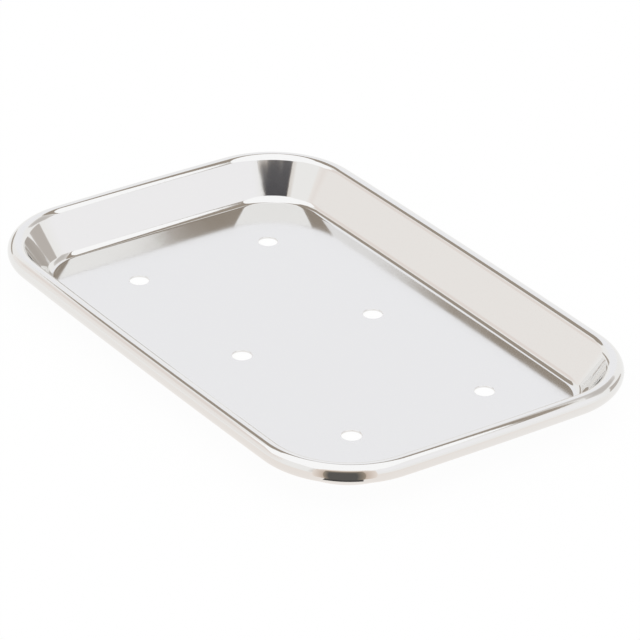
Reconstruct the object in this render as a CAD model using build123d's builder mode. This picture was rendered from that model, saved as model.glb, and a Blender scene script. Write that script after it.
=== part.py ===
from build123d import *
import os
from math import cos, radians, sin

os.makedirs("parts", exist_ok=True)

# Perforated instrument tray, pressed from one stainless sheet, in millimetres and degrees.
# The origin is the centre of the underside, +X runs along the tray and +Z points up.

# Overall size, over the rolled rim
overall_length = 254.0
overall_width = 165.0
overall_height = 17.5
corner_radius = 40.0

# How far the middle of each side stands out past its ends
long_side_bow = 0.9
short_side_bow = 0.7

# The sheet and the way it is drawn and rolled
sheet = 0.8
wall_slope = 57.0
floor_fillet_radius = 4.5
rim_radius = 4.0
rim_turn = 305.0

# Drain holes, three along the tray in two rows
hole_diameter = 8.0
hole_pitch = 76.0
hole_row_spacing = 64.0
holes_per_row = 3
hole_rows = 2
hole_edge_rounding = 0.25

# The wall touches the floor fillet and the rolled rim, so its length and run follow from both
slope_sin = sin(radians(wall_slope))
slope_cos = cos(radians(wall_slope))
rim_centre_height = overall_height - rim_radius
wall_foot_height = sheet + floor_fillet_radius * (1 - slope_cos)
wall_top_height = rim_centre_height + rim_radius * slope_cos
wall_length = (wall_top_height - wall_foot_height) / slope_sin
wall_run = (floor_fillet_radius + rim_radius) * slope_sin + wall_length * slope_cos
edge_run = wall_run + rim_radius

# The flat floor, inside the fillet
floor_half_length = overall_length / 2 - edge_run
floor_half_width = overall_width / 2 - edge_run
floor_corner_radius = corner_radius - edge_run
floor_corner = (floor_half_length - short_side_bow, floor_half_width - long_side_bow)

# A quarter of the floor's edge, from the middle of a short side to the middle of a long side
with BuildLine() as floor_edge:
    TangentArc((floor_half_length, 0), floor_corner, tangent=(0, 1))
    TangentArc((0, floor_half_width), floor_corner, tangent=(1, 0))
    meeting_point = floor_edge.vertices().sort_by(lambda point: point.X + point.Y)[-1]
    fillet(meeting_point, floor_corner_radius)

# The tray: floor, fillet, sloping wall and rolled rim in one skin
with BuildPart() as tray:
    with BuildSketch(Plane.XZ) as skin:
        with BuildLine():
            inner_fillet = JernArc(
                start=(floor_half_length, sheet),
                tangent=(1, 0),
                radius=floor_fillet_radius,
                arc_size=wall_slope,
            )
            inner_wall = PolarLine(start=inner_fillet @ 1, length=wall_length, angle=wall_slope)
            rim = JernArc(
                start=inner_wall @ 1, tangent=inner_wall % 1, radius=rim_radius, arc_size=-rim_turn
            )
            under_fillet = JernArc(
                start=(floor_half_length, 0),
                tangent=(1, 0),
                radius=floor_fillet_radius + sheet,
                arc_size=wall_slope,
            )
            under_wall = PolarLine(start=under_fillet @ 1, length=wall_length, angle=wall_slope)
            rim_inside = JernArc(
                start=under_wall @ 1,
                tangent=under_wall % 1,
                radius=rim_radius - sheet,
                arc_size=-rim_turn,
            )
            Line(inner_fillet @ 0, under_fillet @ 0)
            Line(rim @ 1, rim_inside @ 1)
        make_face()
    sweep(path=floor_edge.line)

    with BuildSketch():
        with BuildLine():
            add(floor_edge.line)
            Polyline((0, floor_half_width), (0, 0), (floor_half_length, 0))
        make_face()
    extrude(amount=sheet)

    mirror(about=Plane.XZ)
    mirror(about=Plane.YZ)

    with BuildSketch(Plane.XY):
        with GridLocations(hole_pitch, hole_row_spacing, holes_per_row, hole_rows):
            Circle(hole_diameter / 2)
    extrude(amount=sheet, mode=Mode.SUBTRACT)
    hole_edges = tray.edges().filter_by(GeomType.CIRCLE).filter_by(
        lambda edge: abs(edge.radius - hole_diameter / 2) < hole_edge_rounding / 10
    )
    fillet(hole_edges, hole_edge_rounding)

tray.part.label = "tray"
export_step(tray.part, "parts/tray.step")
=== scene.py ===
"""A perforated instrument tray, drawn from one stainless steel sheet and polished, on its studio stage."""

from typing import NamedTuple

import bpy
import numpy as np
from bpy.props import FloatProperty, FloatVectorProperty, PointerProperty
from bpy.types import Operator, Panel, PropertyGroup
from mathutils import Matrix, Vector


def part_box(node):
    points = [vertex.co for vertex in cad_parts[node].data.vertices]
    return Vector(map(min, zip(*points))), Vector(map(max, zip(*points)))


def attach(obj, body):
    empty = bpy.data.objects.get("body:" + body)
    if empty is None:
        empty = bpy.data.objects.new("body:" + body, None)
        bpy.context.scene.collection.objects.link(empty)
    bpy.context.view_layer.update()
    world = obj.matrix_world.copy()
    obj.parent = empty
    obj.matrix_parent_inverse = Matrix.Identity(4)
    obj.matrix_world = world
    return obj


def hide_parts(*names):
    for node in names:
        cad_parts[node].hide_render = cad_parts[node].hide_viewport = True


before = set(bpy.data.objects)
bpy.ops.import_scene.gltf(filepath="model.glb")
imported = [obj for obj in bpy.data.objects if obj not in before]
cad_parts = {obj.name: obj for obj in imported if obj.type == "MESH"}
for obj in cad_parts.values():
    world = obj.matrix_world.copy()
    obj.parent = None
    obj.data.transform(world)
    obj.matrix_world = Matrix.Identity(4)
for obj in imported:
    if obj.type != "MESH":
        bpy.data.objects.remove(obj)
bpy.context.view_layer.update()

bl_info = {
    "name": "Instrument Tray",
    "version": (1, 0, 0),
    "blender": (4, 5, 0),
    "location": "View3D > Sidebar > Tray",
    "description": "A drawn and polished stainless steel instrument tray, with its studio stage",
    "category": "Object",
}

NODE = "tray"
FLOOR = "flat_floor"
GLOW = "light_share"
tray_low, tray_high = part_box(NODE)

# The picture's width in pixels, and how far the table top reaches, in metres
PICTURE_WIDTH = 640
TABLE_REACH = 3.0

# How many steps each stretch of the surface is divided into
SHORT_SIDE_STEPS = 18
CORNER_STEPS = 44
LONG_SIDE_STEPS = 14
FILLET_STEPS = 24
WALL_STEPS = 6
RIM_STEPS = 72
RIM_INSIDE_STEPS = 40
UNDER_FILLET_STEPS = 16
HOLE_EDGE_STEPS = 4
CUT_STEPS = 20
MIDDLE_STEPS = 30

# Where the rings of points round a hole lie, as shares of the way from its edge to the edge of
# the part of the floor round it
FLOOR_RINGS = np.array([1.0, 0.6, 0.25, 0.08])

# The holes' places on their grid, in steps along the tray and in sides across it
HOLE_COLUMNS = (-1, 0, 1)
HOLE_ROWS = (-1, 1)

# How near a place lies to a line that it counts as being on, in metres, and the decimals to which
# places are rounded to find those that coincide
TOUCH = 1e-9
DECIMALS = 8

# The least height of a unit normal that points up, and the lean from its face past which a
# corner's normal is the face's own
UPRIGHT = 0.999
SHARP_LEAN = np.radians(60)

QUARTER = np.pi / 2


# Colours

def linear(hex_colour):
    """Turns an sRGB hex value such as #c0ffee into linear red, green and blue."""
    srgb = np.array([int(hex_colour[i:i + 2], 16) for i in (1, 3, 5)]) / 255
    rgb = np.where(srgb <= 0.04045, srgb / 12.92, ((srgb + 0.055) / 1.055) ** 2.4)
    return tuple(float(channel) for channel in rgb)


# Settings that a user would change

class TraySizes(PropertyGroup):
    """Sizes of the drawn sheet. The overall size comes from the tray's part in model.glb."""

    length: FloatProperty(
        name="Length", description="Over the rolled rim, along X",
        default=tray_high.x - tray_low.x, min=0.05, unit="LENGTH")
    width: FloatProperty(
        name="Width", description="Over the rolled rim, along Y",
        default=tray_high.y - tray_low.y, min=0.05, unit="LENGTH")
    height: FloatProperty(
        name="Height", description="From the underside to the top of the rim",
        default=tray_high.z - tray_low.z, min=0.005, unit="LENGTH")
    corner_radius: FloatProperty(
        name="Corner radius", description="Outside radius of a corner, seen from above",
        default=0.040, unit="LENGTH")
    long_side_bow: FloatProperty(
        name="Long side bow", description="How far the middle of a long side stands out",
        default=0.0009, unit="LENGTH")
    short_side_bow: FloatProperty(
        name="Short side bow", description="How far the middle of a short side stands out",
        default=0.0007, unit="LENGTH")
    sheet: FloatProperty(
        name="Sheet", description="Thickness of the steel sheet",
        default=0.0008, unit="LENGTH")
    wall_slope: FloatProperty(
        name="Wall slope", description="Angle of the wall above the floor",
        default=np.radians(57), subtype="ANGLE")
    floor_fillet: FloatProperty(
        name="Floor fillet", description="Inside radius between the floor and the wall",
        default=0.0045, unit="LENGTH")
    rim_radius: FloatProperty(
        name="Rim radius", description="Outside radius of the rolled rim",
        default=0.004, unit="LENGTH")
    rim_turn: FloatProperty(
        name="Rim turn", description="How far the sheet's edge is rolled round",
        default=np.radians(305), subtype="ANGLE")
    hole_diameter: FloatProperty(
        name="Hole diameter", description="Width of a drain hole",
        default=0.008, unit="LENGTH")
    hole_pitch: FloatProperty(
        name="Hole pitch", description="From hole to hole along the tray",
        default=0.076, unit="LENGTH")
    hole_row_spacing: FloatProperty(
        name="Hole row spacing", description="From one row of holes to the other",
        default=0.064, unit="LENGTH")
    hole_rounding: FloatProperty(
        name="Hole edge rounding", description="Radius left on a hole's edges by polishing",
        default=0.00025, unit="LENGTH")


class TrayFinish(PropertyGroup):
    """Colour and polish of the steel."""

    steel: FloatVectorProperty(
        name="Steel", description="Colour of the polished stainless steel",
        default=linear("#e8e7e5"), subtype="COLOR", min=0, max=1)
    wall_roughness: FloatProperty(
        name="Wall roughness", description="Roughness of the wall and the rim",
        default=0.05, min=0, max=1, subtype="FACTOR")
    floor_roughness: FloatProperty(
        name="Floor roughness", description="Roughness of the flat floor",
        default=0.11, min=0, max=1, subtype="FACTOR")
    haze: FloatProperty(
        name="Haze", description="How much the buffing haze changes the roughness, either way",
        default=0.15, min=0, max=1, subtype="FACTOR")
    haze_width: FloatProperty(
        name="Haze width", description="Width of the patches that buffing leaves",
        default=0.02, unit="LENGTH")
    wave_width: FloatProperty(
        name="Wave width", description="Width of the waves that drawing leaves",
        default=0.009, unit="LENGTH")
    wave_depth: FloatProperty(
        name="Wave depth", description="Depth of the waves that drawing leaves",
        default=0.000006, unit="LENGTH")


class StageSettings(PropertyGroup):
    """The camera and the room. Angles are seen from the tray, and azimuth 0 looks along +Y."""

    azimuth: FloatProperty(
        name="Azimuth", description="Turn of the camera round the tray",
        default=np.radians(54.71), subtype="ANGLE")
    elevation: FloatProperty(
        name="Elevation", description="Height of the camera as an angle",
        default=np.radians(28.49), subtype="ANGLE")
    roll: FloatProperty(
        name="Roll", description="Turn of the camera about its own axis",
        default=np.radians(1.13), subtype="ANGLE")
    distance: FloatProperty(
        name="Distance", description="From the camera to the point that it looks at",
        default=1.7162, unit="LENGTH")
    look_at: FloatVectorProperty(
        name="Look at", description="The point in the middle of the picture",
        default=(-0.00732, 0.01096, 0.0008), subtype="TRANSLATION", unit="LENGTH")
    focal_pixels: FloatProperty(
        name="Focal length", description="Focal length in pixels, in a picture 640 pixels wide",
        default=4232.7, subtype="PIXEL")
    backdrop: FloatVectorProperty(
        name="Backdrop", description="Colour of the studio round the tray",
        default=linear("#ffffff"), subtype="COLOR", min=0, max=1)
    room_light: FloatProperty(
        name="Room light", description="Strength of the soft light all round",
        default=1.0, min=0)
    shadow: FloatProperty(
        name="Shadow", description="How much of the tray's shadow the table top shows",
        default=0.05, min=0, max=1, subtype="FACTOR")


# The tray's surface

def bearing(step):
    """The angle of a step in X and Y, from +X: the arctangent of its Y over its X."""
    return np.arctan2(step[1], step[0])


def joined(parts):
    """Stretches of points and normals, put end to end."""
    points, normals = zip(*parts)
    return np.vstack(points), np.vstack(normals)


def distinct(points):
    """The first index of each place that differs, and for each point the place that it is at."""
    _, first, same = np.unique(
        np.round(points, DECIMALS), axis=0, return_index=True, return_inverse=True)
    return first, same.ravel()


def path_quarter(size):
    """Points and normals of the flat floor's outline, for the quarter from +X to +Y.

    The outline is three arcs that touch: half a bowed short side, a corner and half a bowed long
    side. A side's radius = (half its chord squared + its bow squared) / (2 x its bow). The corner's
    centre lies at the side radii, less its own, from the two sides' centres. A point = its arc's
    centre + the arc's radius x the (cosine, sine) of its angle, and that direction is its normal.
    """
    run = edge_run(size)
    half_length = size.length / 2 - run
    half_width = size.width / 2 - run
    corner_radius = size.corner_radius - run
    reach_x = half_length - size.short_side_bow
    reach_y = half_width - size.long_side_bow
    short_radius = (reach_y ** 2 + size.short_side_bow ** 2) / (2 * size.short_side_bow)
    long_radius = (reach_x ** 2 + size.long_side_bow ** 2) / (2 * size.long_side_bow)
    short_centre = np.array([half_length - short_radius, 0.0])
    long_centre = np.array([0.0, half_width - long_radius])
    between = long_centre - short_centre
    apart = np.hypot(*between)
    along = between / apart
    across = np.array([-along[1], along[0]])
    short_reach = short_radius - corner_radius
    long_reach = long_radius - corner_radius
    foot = (short_reach ** 2 - long_reach ** 2 + apart ** 2) / (2 * apart)
    corner_centre = short_centre + foot * along + np.sqrt(short_reach ** 2 - foot ** 2) * across
    corner_start = bearing(corner_centre - short_centre)
    corner_end = bearing(corner_centre - long_centre)
    hole_cut = QUARTER - np.arcsin(size.hole_pitch / 2 / long_radius)
    knots = [0, corner_start, corner_end, hole_cut, QUARTER]
    steps = [SHORT_SIDE_STEPS, CORNER_STEPS, LONG_SIDE_STEPS, LONG_SIDE_STEPS]
    stretches = [
        np.linspace(a, b, n, endpoint=False) for a, b, n in zip(knots[:-1], knots[1:], steps)]
    angles = np.concatenate(stretches + [[QUARTER]])
    part = np.searchsorted([corner_start, corner_end], angles, side="right")
    centres = np.array([short_centre, corner_centre, long_centre])[part]
    radii = np.array([short_radius, corner_radius, long_radius])[part]
    normals = np.stack([np.cos(angles), np.sin(angles)], axis=1)
    return centres + radii[:, None] * normals, normals


def floor_outline(size):
    """Points and outward normals of the flat floor's outline, once round from +X.

    The other three quarters are the first one with its X, both and its Y turned negative.
    """
    points, normals = path_quarter(size)
    turns = [((1, 1), 1), ((-1, 1), -1), ((-1, -1), 1), ((1, -1), -1)]
    return joined(
        (points[::step][:-1] * flip, normals[::step][:-1] * flip) for flip, step in turns)


def wall_length(size):
    """Length of the sloping wall: the rise left between the fillet and the rim / the slope's sine."""
    foot = size.sheet + size.floor_fillet * (1 - np.cos(size.wall_slope))
    top = size.height - size.rim_radius * (1 - np.cos(size.wall_slope))
    return (top - foot) / np.sin(size.wall_slope)


def edge_run(size):
    """How far the rim's outer edge lies from the flat floor, seen from above.

    It is the fillet's and the rim's radii x the slope's sine + the wall's length x its cosine + the
    rim's radius.
    """
    arcs = (size.floor_fillet + size.rim_radius) * np.sin(size.wall_slope)
    return arcs + wall_length(size) * np.cos(size.wall_slope) + size.rim_radius


def arc(centre, radius, start, end, steps, facing):
    """Points and normals on an arc in the section's plane; facing is 1 outwards and -1 inwards.

    Point = centre + radius x the (cosine, sine) of an angle that goes evenly from start to end.
    """
    angle = np.linspace(start, end, steps + 1)
    direction = np.stack([np.cos(angle), np.sin(angle)], axis=1)
    return np.asarray(centre) + radius * direction, facing * direction


def straight(start, end, steps, facing):
    """Points and normals on a line in the section's plane; facing is 1 to its left and -1 right.

    Point = start + share x (end - start), with a share that goes evenly from 0 to 1.
    """
    share = np.linspace(0, 1, steps + 1)[:, None]
    ahead = (end - start) / np.hypot(*(end - start))
    left = np.array([-ahead[1], ahead[0]])
    return start + share * (end - start), np.broadcast_to(facing * left, (steps + 1, 2))


def without_ends(stretch):
    """A stretch's points and normals, less the first and the last, which its neighbours have."""
    return [part[1:-1] for part in stretch]


def skin_section(size):
    """The sheet's section beyond the flat floor: distance outwards and height, with normals.

    It runs up the inside: floor fillet, wall and rolled rim, over the sheet's cut edge, and back
    along the hidden side. Each arc touches the next line, so the normal turns evenly.
    """
    slope = size.wall_slope
    lean = np.array([np.sin(slope), -np.cos(slope)])
    fillet_centre = np.array([0.0, size.sheet + size.floor_fillet])
    foot = fillet_centre + size.floor_fillet * lean
    top = foot + wall_length(size) * np.array([np.cos(slope), np.sin(slope)])
    foot_angle = slope - QUARTER
    fillet = arc(fillet_centre, size.floor_fillet, -QUARTER, foot_angle, FILLET_STEPS, -1)
    wall = straight(foot, top, WALL_STEPS, 1)
    rim_centre = top + size.rim_radius * lean
    rim_start = QUARTER + slope
    rim_end = rim_start - size.rim_turn
    inner_radius = size.rim_radius - size.sheet
    rim = arc(rim_centre, size.rim_radius, rim_start, rim_end, RIM_STEPS, 1)
    rim_inside = arc(rim_centre, inner_radius, rim_end, rim_start, RIM_INSIDE_STEPS, -1)
    under_wall = straight(top + size.sheet * lean, foot + size.sheet * lean, WALL_STEPS, 1)
    under_radius = size.floor_fillet + size.sheet
    under = arc(fillet_centre, under_radius, foot_angle, -QUARTER, UNDER_FILLET_STEPS, 1)
    return joined(
        [fillet, without_ends(wall), rim, rim_inside, without_ends(under_wall), under])


def carry(points, normals, section, section_normals):
    """The section carried round the outline, as a grid of points and a grid of normals.

    Point = outline point + distance outwards x outline normal, at the section's height; the
    normal is turned the same way.
    """
    rounds, steps = len(points), len(section)
    grid = np.empty((rounds, steps, 3))
    facing = np.empty((rounds, steps, 3))
    grid[..., :2] = points[:, None] + normals[:, None] * section[None, :, :1]
    grid[..., 2] = section[None, :, 1]
    facing[..., :2] = normals[:, None] * section_normals[None, :, :1]
    facing[..., 2] = section_normals[None, :, 1]
    return grid, facing


def hole_section(size):
    """Section of a drain hole: distance from the wall of the hole and height, with normals.

    It is two quarter arcs with a line between them: from the floor's top over a rounded edge, down
    the hole and round to the underside.
    """
    r = size.hole_rounding
    upper = arc((r, size.sheet - r), r, QUARTER, 2 * QUARTER, HOLE_EDGE_STEPS, 1)
    lower = arc((r, r), r, 2 * QUARTER, 3 * QUARTER, HOLE_EDGE_STEPS, 1)
    return joined([upper, lower])


def cell_outline(size, outline, column, row):
    """The edge of the part of the floor round one hole, anticlockwise, and the hole's centre.

    The floor is cut halfway between holes and along the middle, and the rest of a cell's edge is
    the floor's own outline. The points are sorted by their bearing from the hole.
    """
    cut = size.hole_pitch / 2
    low, high = (2 * column - 1) * cut, (2 * column + 1) * cut
    x, y = outline.T
    edge = outline[(y * row > -TOUCH) & (x > low - TOUCH) & (x < high + TOUCH)]
    far_end = y[np.abs(np.abs(x) - cut) < TOUCH].max() * row
    across = np.linspace(0, far_end, CUT_STEPS + 1)
    cuts = [np.stack([np.full(CUT_STEPS + 1, side), across], axis=1)
            for side in (low, high) if abs(side) < 2 * cut]
    reach = np.abs(x).max()
    along = np.linspace(max(low, -reach), min(high, reach), MIDDLE_STEPS + 1)
    middle = np.stack([along, np.zeros(MIDDLE_STEPS + 1)], axis=1)
    points = np.vstack([edge, *cuts, middle])
    points = points[distinct(points)[0]]
    centre = np.array([column * size.hole_pitch, row * size.hole_row_spacing / 2])
    return points[np.argsort(bearing((points - centre).T))], centre


def floor_cell(size, outline, column, row):
    """Floor round one hole: rays from the cell's edge to the hole, through it and back below.

    A floor point = the hole's edge + share x (the cell's edge - the hole's edge) on its ray.
    """
    points, centre = cell_outline(size, outline, column, row)
    ray = points - centre
    ray /= np.hypot(*ray.T)[:, None]
    section, section_normals = hole_section(size)
    hole, facing = carry(centre + ray * size.hole_diameter / 2, ray, section, section_normals)
    hole_edge = hole[:, :1, :2]
    top = np.empty((len(points), len(FLOOR_RINGS), 3))
    top[..., :2] = hole_edge + FLOOR_RINGS[None, :, None] * (points[:, None] - hole_edge)
    top[..., 2] = size.sheet
    below = top[:, ::-1].copy()
    below[..., 2] = 0
    up = np.broadcast_to([0.0, 0.0, 1.0], top.shape)
    return np.concatenate([top, hole, below], axis=1), np.concatenate([up, facing, -up], axis=1)


def grid_faces(rounds, steps):
    """Faces of a grid that closes on itself along its first direction, numbered row by row."""
    i = np.arange(rounds)[:, None]
    j = np.arange(steps - 1)[None, :]
    after = (i + 1) % rounds
    corners = [i * steps + j, after * steps + j, after * steps + j + 1, i * steps + j + 1]
    return np.stack([c.ravel() for c in corners], axis=1)


def tray_arrays(size):
    """The tray's points, faces, normals at each face's corners, and which points are flat floor.

    Points that coincide are made one. A corner's normal is the section's, carried round; where it
    leans far from its face, as on the sheet's cut edge, it is the face's own: the cross product of
    the face's diagonals.
    """
    outline, outline_normals = floor_outline(size)
    section, section_normals = skin_section(size)
    grids = [carry(outline, outline_normals, section, section_normals)]
    grids += [floor_cell(size, outline, c, r) for c in HOLE_COLUMNS for r in HOLE_ROWS]
    points, normals, faces, count = [], [], [], 0
    for place, (grid, facing) in enumerate(grids):
        quads = grid_faces(*grid.shape[:2])
        points.append(grid.reshape(-1, 3))
        normals.append(facing.reshape(-1, 3))
        faces.append((quads[:, ::-1] if place == 0 else quads) + count)
        count += len(points[-1])
    points, normals, faces = np.vstack(points), np.vstack(normals), np.vstack(faces)
    first, same = distinct(points)
    corners = points[faces]
    flat = np.cross(corners[:, 2] - corners[:, 0], corners[:, 3] - corners[:, 1])
    flat /= np.linalg.norm(flat, axis=1)[:, None]
    smooth = normals[faces]
    lean = np.einsum("ijk,ik->ij", smooth, flat)[..., None]
    loop_normals = np.where(lean < np.cos(SHARP_LEAN), flat[:, None], smooth)
    on_floor = (np.abs(points[first, 2] - size.sheet) < TOUCH) & (normals[first, 2] > UPRIGHT)
    return points[first], same[faces], loop_normals.reshape(-1, 3), on_floor


def mesh_object(name, points, faces):
    """A mesh object with its place in its mesh. Faces are lists of point numbers."""
    mesh = bpy.data.meshes.new(name)
    mesh.from_pydata(np.asarray(points).tolist(), [], faces)
    mesh.validate()
    thing = bpy.data.objects.new(name, mesh)
    bpy.context.scene.collection.objects.link(thing)
    return thing


# Materials

def new_material(name):
    """An empty node material, with its tree's nodes and links."""
    material = bpy.data.materials.new(name)
    material.use_nodes = True
    material.node_tree.nodes.clear()
    return material


def add_node(tree, kind, inputs=None, **settings):
    """Adds a node, sets its settings, and sets or links its inputs."""
    node = tree.nodes.new(kind)
    for key, value in settings.items():
        setattr(node, key, value)
    for key, value in (inputs or {}).items():
        if isinstance(value, bpy.types.NodeSocket):
            tree.links.new(value, node.inputs[key])
        else:
            node.inputs[key].default_value = value
    return node


def polished_stainless(finish):
    """Stainless steel sheet, 304 grade, drawn and then polished to a near mirror.

    It gives the eye crisp, slightly warped reflections, and almost no colour of its own.
    """
    material = new_material("Polished stainless steel")
    tree = material.node_tree
    place = add_node(tree, "ShaderNodeTexCoord").outputs["Object"]
    # The buffing wheel reaches the rim and the walls best, so the flat floor mirrors less sharply
    floor = add_node(tree, "ShaderNodeAttribute", attribute_name=FLOOR)
    polish = add_node(tree, "ShaderNodeMapRange", {
        "Value": floor.outputs["Fac"], "To Min": finish.wall_roughness,
        "To Max": finish.floor_roughness})
    # Buffing haze, in patches about 20 mm wide, makes the polish a little uneven. The noise lies
    # mostly between 0.3 and 0.7
    haze = add_node(tree, "ShaderNodeTexNoise", {
        "Vector": place, "Scale": 1 / finish.haze_width, "Detail": 2.0})
    uneven = add_node(tree, "ShaderNodeMapRange", {
        "Value": haze.outputs["Fac"], "From Min": 0.3, "From Max": 0.7,
        "To Min": 1 - finish.haze, "To Max": 1 + finish.haze})
    roughness = add_node(tree, "ShaderNodeMath", {
        0: polish.outputs["Result"], 1: uneven.outputs["Result"]}, operation="MULTIPLY")
    # Drawing leaves waves about 9 mm wide and a few micrometres deep, which bend the mirrored
    # edges slightly
    waves = add_node(tree, "ShaderNodeTexNoise", {
        "Vector": place, "Scale": 1 / finish.wave_width, "Detail": 1.0})
    bent = add_node(tree, "ShaderNodeBump", {
        "Height": waves.outputs["Fac"], "Distance": finish.wave_depth, "Strength": 1.0})
    steel = add_node(tree, "ShaderNodeBsdfPrincipled", {
        "Base Color": (*finish.steel, 1), "Metallic": 1.0,
        "Roughness": roughness.outputs[0], "Normal": bent.outputs["Normal"]})
    add_node(tree, "ShaderNodeOutputMaterial", {"Surface": steel.outputs["BSDF"]})
    return material


def glowing(name, middle, around):
    """A card of plain paper or cloth, lit: its light turns from its middle's to its edge's."""
    material = new_material(name)
    tree = material.node_tree
    share = add_node(tree, "ShaderNodeAttribute", attribute_name=GLOW)
    light = add_node(tree, "ShaderNodeMix", {
        "Factor": share.outputs["Fac"], "A": (*around, 1), "B": (*middle, 1)}, data_type="RGBA")
    glow = add_node(tree, "ShaderNodeEmission", {"Color": light.outputs["Result"]})
    add_node(tree, "ShaderNodeOutputMaterial", {"Surface": glow.outputs["Emission"]})
    return material


# Operators

class OBJECT_OT_drawn_tray(Operator):
    """Builds the tray's skin and gives it its polish"""

    bl_idname = "object.drawn_tray"
    bl_label = "Drawn Tray"

    def execute(self, context):
        size = context.scene.tray_sizes
        points, faces, loop_normals, on_floor = tray_arrays(size)
        tray = mesh_object("drawn_tray", points, faces.tolist())
        if len(tray.data.loops) != len(loop_normals):
            raise RuntimeError("the tray's surface lost faces when it became a mesh")
        tray.data.polygons.foreach_set("use_smooth", np.ones(len(tray.data.polygons), bool))
        tray.data.normals_split_custom_set(loop_normals.tolist())
        flat = tray.data.attributes.new(FLOOR, "FLOAT", "POINT")
        flat.data.foreach_set("value", on_floor.astype(np.float32))
        tray.data.materials.append(polished_stainless(context.scene.tray_finish))
        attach(tray, "root")
        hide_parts(NODE)
        return {"FINISHED"}


def camera_axes(stage):
    """Right, up and back of the camera, as unit vectors."""
    turn, lift = stage.azimuth, stage.elevation
    back = Vector((np.sin(turn) * np.cos(lift), -np.cos(turn) * np.cos(lift), np.sin(lift)))
    right = Vector((np.cos(turn), np.sin(turn), 0))
    up = back.cross(right)
    tilt = Matrix.Rotation(stage.roll, 3, back)
    return tilt @ right, tilt @ up, back


def stage_point(stage, away, right, height):
    """A point given by its distance away from the camera and to its right, and its height."""
    turn = stage.azimuth
    ahead = Vector((-np.sin(turn), np.cos(turn), 0))
    side = Vector((np.cos(turn), np.sin(turn), 0))
    return tuple(ahead * away + side * right + Vector((0, 0, height)))


class Card(NamedTuple):
    """A flat card that the steel mirrors: its light in the middle and at its edge, and its shape.

    Soft is the share of the card over which the one light turns into the other. A corner is how far
    it lies away from the camera, how far to the right, and its height, in metres.
    """

    middle: str
    edge: str
    soft: float
    corners: list
    middle_strength: float = 1.0
    edge_strength: float = 1.0


def level(height, *corners):
    """Corners of a level card; each is given by how far away and how far to the right it lies."""
    return [(away, right, height) for away, right in corners]


def facing_camera(away, *corners):
    """Corners of a card that faces the camera; each is how far to the right, and how high."""
    return [(away, right, height) for right, height in corners]


def standing(start, end, low, high):
    """Corners of an upright oblong card over the line from start to end, between two heights."""
    return [(*start, low), (*end, low), (*end, high), (*start, high)]


SOFTBOX_HEIGHT = 0.8
GAP_AWAY = -1.9
FLAG_AWAY = -0.145

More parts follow.
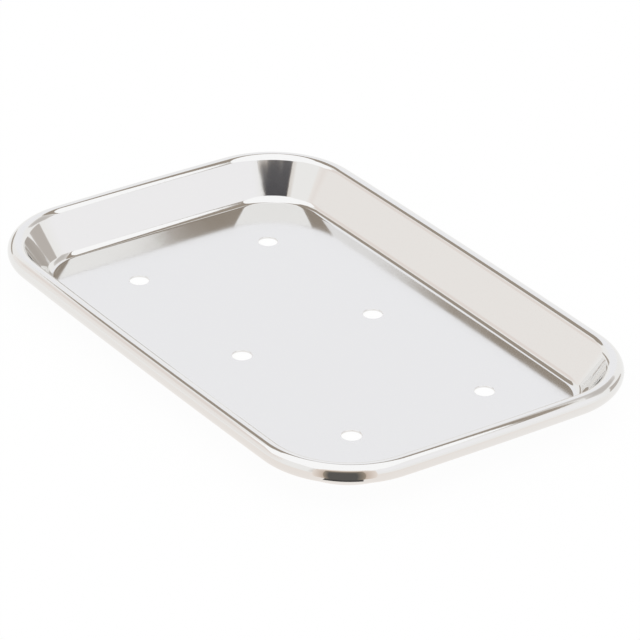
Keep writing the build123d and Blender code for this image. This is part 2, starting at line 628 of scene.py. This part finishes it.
CARDS = {
    # A large diffuser overhead, with a corner pointing away from the camera
    "softbox": Card("#fcfdff", "#fcfdff", 0.3, level(
        SOFTBOX_HEIGHT, (0.72, -0.04), (0.44, 0.23), (0.0, 0.66), (-0.5, 0.6), (-0.76, 0.42),
        (-0.8, 0.2), (-0.8, -0.2), (-0.72, -0.55), (-0.45, -0.62), (0.0, -1.2), (0.38, -0.92),
        (0.42, -0.6), (0.39, -0.31)), 1.18, 1.18),
    # Its dark case shows along the two far edges
    "softbox_case": Card("#a69c91", "#b0a69b", 0.1, level(
        SOFTBOX_HEIGHT + 0.004, (-0.04, 0.72), (0.0, 0.72), (0.36, 0.43), (0.76, 0.16),
        (0.87, -0.08), (0.89, -0.35), (0.84, -0.56), (0.66, -0.67), (0.52, -0.5), (0.38, -0.45),
        (0.3, -0.3), (-0.08, 0.6))),
    # A brown hem round the edge that is nearest to the camera
    "softbox_hem": Card("#ab967f", "#ab967f", 0.1, level(
        SOFTBOX_HEIGHT + 0.002, (-0.7, -0.56), (-0.725, -0.56), (-0.81, -0.2), (-0.81, 0.2),
        (-0.768, 0.43), (-0.74, 0.43))),
    # The unlit part of the room above the camera
    "camera_gap": Card("#565558", "#6b645f", 0.1, facing_camera(
        GAP_AWAY, (-0.78, 1.3), (-0.76, 1.47), (-0.84, 1.58), (-1.33, 1.95), (-1.33, 2.6),
        (1.04, 2.6), (1.04, 1.81), (0.555, 1.66), (0.5, 1.45), (0.54, 1.3))),
    # A small dark flag that stands in front of the near corner, its foot on the table, and the
    # light that it takes off what is behind it. Flag and shade carry on below the table top, so
    # that they soften upwards and sideways only
    "corner_flag": Card("#605e5c", "#a89b8c", 0.35, facing_camera(
        FLAG_AWAY, (0.0022, -0.026), (0.0022, 0.008), (0.0019, 0.0135), (0.0019, 0.018),
        (0.0021, 0.023), (0.0025, 0.0275), (0.0258, 0.0275), (0.0269, 0.02), (0.0271, 0.0135),
        (0.0265, -0.026))),
    "corner_flag_foot": Card("#4f4e4c", "#4f4e4c", 0.1, level(
        0.0004, (-0.137, 0.0035), (-0.137, 0.0245), (FLAG_AWAY, 0.0262), (FLAG_AWAY, 0.0022))),
    "corner_flag_shade": Card("#d1c0b3", "#f7eee7", 0.4, facing_camera(
        FLAG_AWAY - 0.001, (-0.0065, -0.036), (-0.0065, 0.03), (-0.001, 0.036), (0.03, 0.036),
        (0.0355, 0.03), (0.0355, -0.036))),
    # The near part of the table, which takes a warm tint from the room
    "near_table": Card("#fbf5f1", "#ffffff", 0.3, level(
        0.0003, (0.1, -0.8), (0.05, -0.1), (-0.03, 0.1), (0.0, 0.8), (-1.2, 1.2), (-1.5, 0.0),
        (-1.2, -1.2))),
    # A tan curtain to the left of the camera, partly behind the gap
    "camera_curtain": Card("#c4b3a3", "#ffffff", 0.95, facing_camera(
        GAP_AWAY - 0.05, (0.0, 0.0), (0.0, 2.2), (-1.6, 2.2), (-1.6, 0.0))),
    # Grey boards beyond the softbox, one overhead on the right and two low ones
    "right_board": Card("#cfcbc8", "#e4e1df", 0.5, level(
        SOFTBOX_HEIGHT + 0.01, (0.6, 0.2), (0.35, 0.45), (0.04, 0.78), (0.3, 1.3), (1.1, 1.1),
        (1.1, 0.5))),
    "right_low_board": Card("#c7c1bc", "#d6d2ce", 0.2, [
        (1.77, 1.77, 0.01), (1.77, 1.77, 0.25), (1.02, 2.28, 1.2), (0.65, 2.41, 0.25),
        (0.65, 2.41, 0.01)]),
    "left_low_board": Card("#b3aaa1", "#d6d2ce", 0.3, [
        (2.35, -0.85, 0.3), (1.7, -1.85, 0.3), (1.7, -1.85, 0.6), (2.35, -0.85, 0.8)]),
    # Warmer boards on the left, and cooler ones on the right and beyond the tray
    "left_board": Card("#fcf9f7", "#ffffff", 0.4, standing((-1.0, -2.4), (2.2, -2.0), 0.1, 1.4)),
    "left_high_board": Card(
        "#f3ebe7", "#fdfaf8", 0.6, standing((-0.6, -2.3), (1.8, -1.8), 0.9, 2.2)),
    "right_cool_board": Card(
        "#fbfbfe", "#ffffff", 0.5, standing((-2.2, 1.0), (0.6, 2.4), 0.3, 2.4), 1.07),
    "back_board": Card(
        "#fafbff", "#ffffff", 0.4, standing((2.5, -1.2), (2.5, 1.2), 0.5, 2.6), 1.04),
}


def card_mesh(name, corners, soft):
    """A card as an outer ring of faces round an inner one, with its light's share at each point.

    An inner corner = middle + (1 - soft) x (corner - middle), and the light's share rises evenly
    from 0 on the outer corners to 1 on the inner ones.
    """
    outer = np.array(corners)
    middle = outer.mean(axis=0)
    inner = middle + (1 - soft) * (outer - middle)
    count = len(outer)
    first = np.arange(count)
    after = (first + 1) % count
    ring = np.stack([first, after, after + count, first + count], axis=1)
    thing = mesh_object(
        name, np.vstack([outer, inner]), ring.tolist() + [(first + count).tolist()])
    share = thing.data.attributes.new(GLOW, "FLOAT", "POINT")
    share.data.foreach_set("value", np.repeat([0.0, 1.0], count).astype(np.float32))
    return thing


def add_card(stage, name, card):
    """A lit card that is seen in the steel alone."""
    thing = card_mesh(name, [stage_point(stage, *corner) for corner in card.corners], card.soft)
    middle = np.array(linear(card.middle)) * card.middle_strength
    around = np.array(linear(card.edge)) * card.edge_strength
    thing.data.materials.append(glowing(name, middle, around))
    thing.visible_camera = False
    thing.visible_diffuse = False
    thing.visible_shadow = False


class SCENE_OT_tray_stage(Operator):
    """Sets up the floor, the studio, its lights and the camera"""

    bl_idname = "scene.tray_stage"
    bl_label = "Tray Stage"

    def execute(self, context):
        scene = context.scene
        stage = scene.tray_stage
        scene.view_settings.view_transform = "Standard"
        add_camera(scene, stage)
        add_world(scene, stage)
        add_floor(stage)
        for name, card in CARDS.items():
            add_card(stage, name, card)
        return {"FINISHED"}


def add_camera(scene, stage):
    """A camera at the photograph's viewing angle."""
    right, up, back = camera_axes(stage)
    camera = bpy.data.objects.new("camera", bpy.data.cameras.new("camera"))
    scene.collection.objects.link(camera)
    turn = Matrix((right, up, back)).transposed()
    place = Vector(stage.look_at) + back * stage.distance
    camera.matrix_world = Matrix.Translation(place) @ turn.to_4x4()
    camera.data.lens = stage.focal_pixels * camera.data.sensor_width / PICTURE_WIDTH
    scene.camera = camera


def add_world(scene, stage):
    """Pale studio surroundings: white where they are seen, mirrored or looked through."""
    world = bpy.data.worlds.new("Studio")
    world.use_nodes = True
    tree = world.node_tree
    tree.nodes.clear()
    ray = add_node(tree, "ShaderNodeLightPath")
    seen = add_node(tree, "ShaderNodeMath", {
        0: ray.outputs["Is Camera Ray"], 1: ray.outputs["Is Glossy Ray"]}, operation="MAXIMUM")
    shown = add_node(tree, "ShaderNodeMath", {
        0: seen.outputs[0], 1: ray.outputs["Is Transmission Ray"]}, operation="MAXIMUM")
    lit = add_node(tree, "ShaderNodeBackground", {
        "Color": (*stage.backdrop, 1), "Strength": stage.room_light})
    white = add_node(tree, "ShaderNodeBackground", {
        "Color": (*stage.backdrop, 1), "Strength": 1.0})
    mixed = add_node(tree, "ShaderNodeMixShader", {
        0: shown.outputs[0], 1: lit.outputs[0], 2: white.outputs[0]})
    add_node(tree, "ShaderNodeOutputWorld", {"Surface": mixed.outputs[0]})
    scene.world = world


def add_floor(stage):
    """A plain table top of white acrylic, lit from below, so that only a faint shadow shows on it."""
    reach = TABLE_REACH
    corners = [(-reach, -reach, 0), (reach, -reach, 0), (reach, reach, 0), (-reach, reach, 0)]
    floor = mesh_object("floor", corners, [(0, 1, 2, 3)])
    material = new_material("White table top")
    tree = material.node_tree
    paint = add_node(tree, "ShaderNodeBsdfDiffuse", {"Color": (*stage.backdrop, 1)})
    lit = add_node(tree, "ShaderNodeEmission", {"Color": (*stage.backdrop, 1), "Strength": 1.0})
    mixed = add_node(tree, "ShaderNodeMixShader", {
        0: stage.shadow, 1: lit.outputs[0], 2: paint.outputs[0]})
    add_node(tree, "ShaderNodeOutputMaterial", {"Surface": mixed.outputs[0]})
    floor.data.materials.append(material)


class VIEW3D_PT_tray(Panel):
    """Lists the tray's pieces and its stage"""

    bl_label = "Instrument Tray"
    bl_space_type = "VIEW_3D"
    bl_region_type = "UI"
    bl_category = "Tray"

    def draw(self, context):
        layout = self.layout
        for operator in OPERATORS:
            layout.operator(operator.bl_idname)
        for settings in (context.scene.tray_sizes, context.scene.tray_finish,
                         context.scene.tray_stage):
            for name in settings.__annotations__:
                layout.prop(settings, name)


SETTINGS = {"tray_sizes": TraySizes, "tray_finish": TrayFinish, "tray_stage": StageSettings}
OPERATORS = (OBJECT_OT_drawn_tray, SCENE_OT_tray_stage)


def register():
    """Registers the classes and puts the settings on the scene."""
    for item in (*SETTINGS.values(), *OPERATORS, VIEW3D_PT_tray):
        bpy.utils.register_class(item)
    for name, group in SETTINGS.items():
        setattr(bpy.types.Scene, name, PointerProperty(type=group))


def unregister():
    """Takes the settings off the scene and removes the classes."""
    for name in SETTINGS:
        delattr(bpy.types.Scene, name)
    for item in (VIEW3D_PT_tray, *reversed(OPERATORS), *reversed(SETTINGS.values())):
        bpy.utils.unregister_class(item)


def main():
    """Builds the tray and its stage."""
    register()
    bpy.ops.object.drawn_tray()
    bpy.ops.scene.tray_stage()


if __name__ == "__main__":
    main()
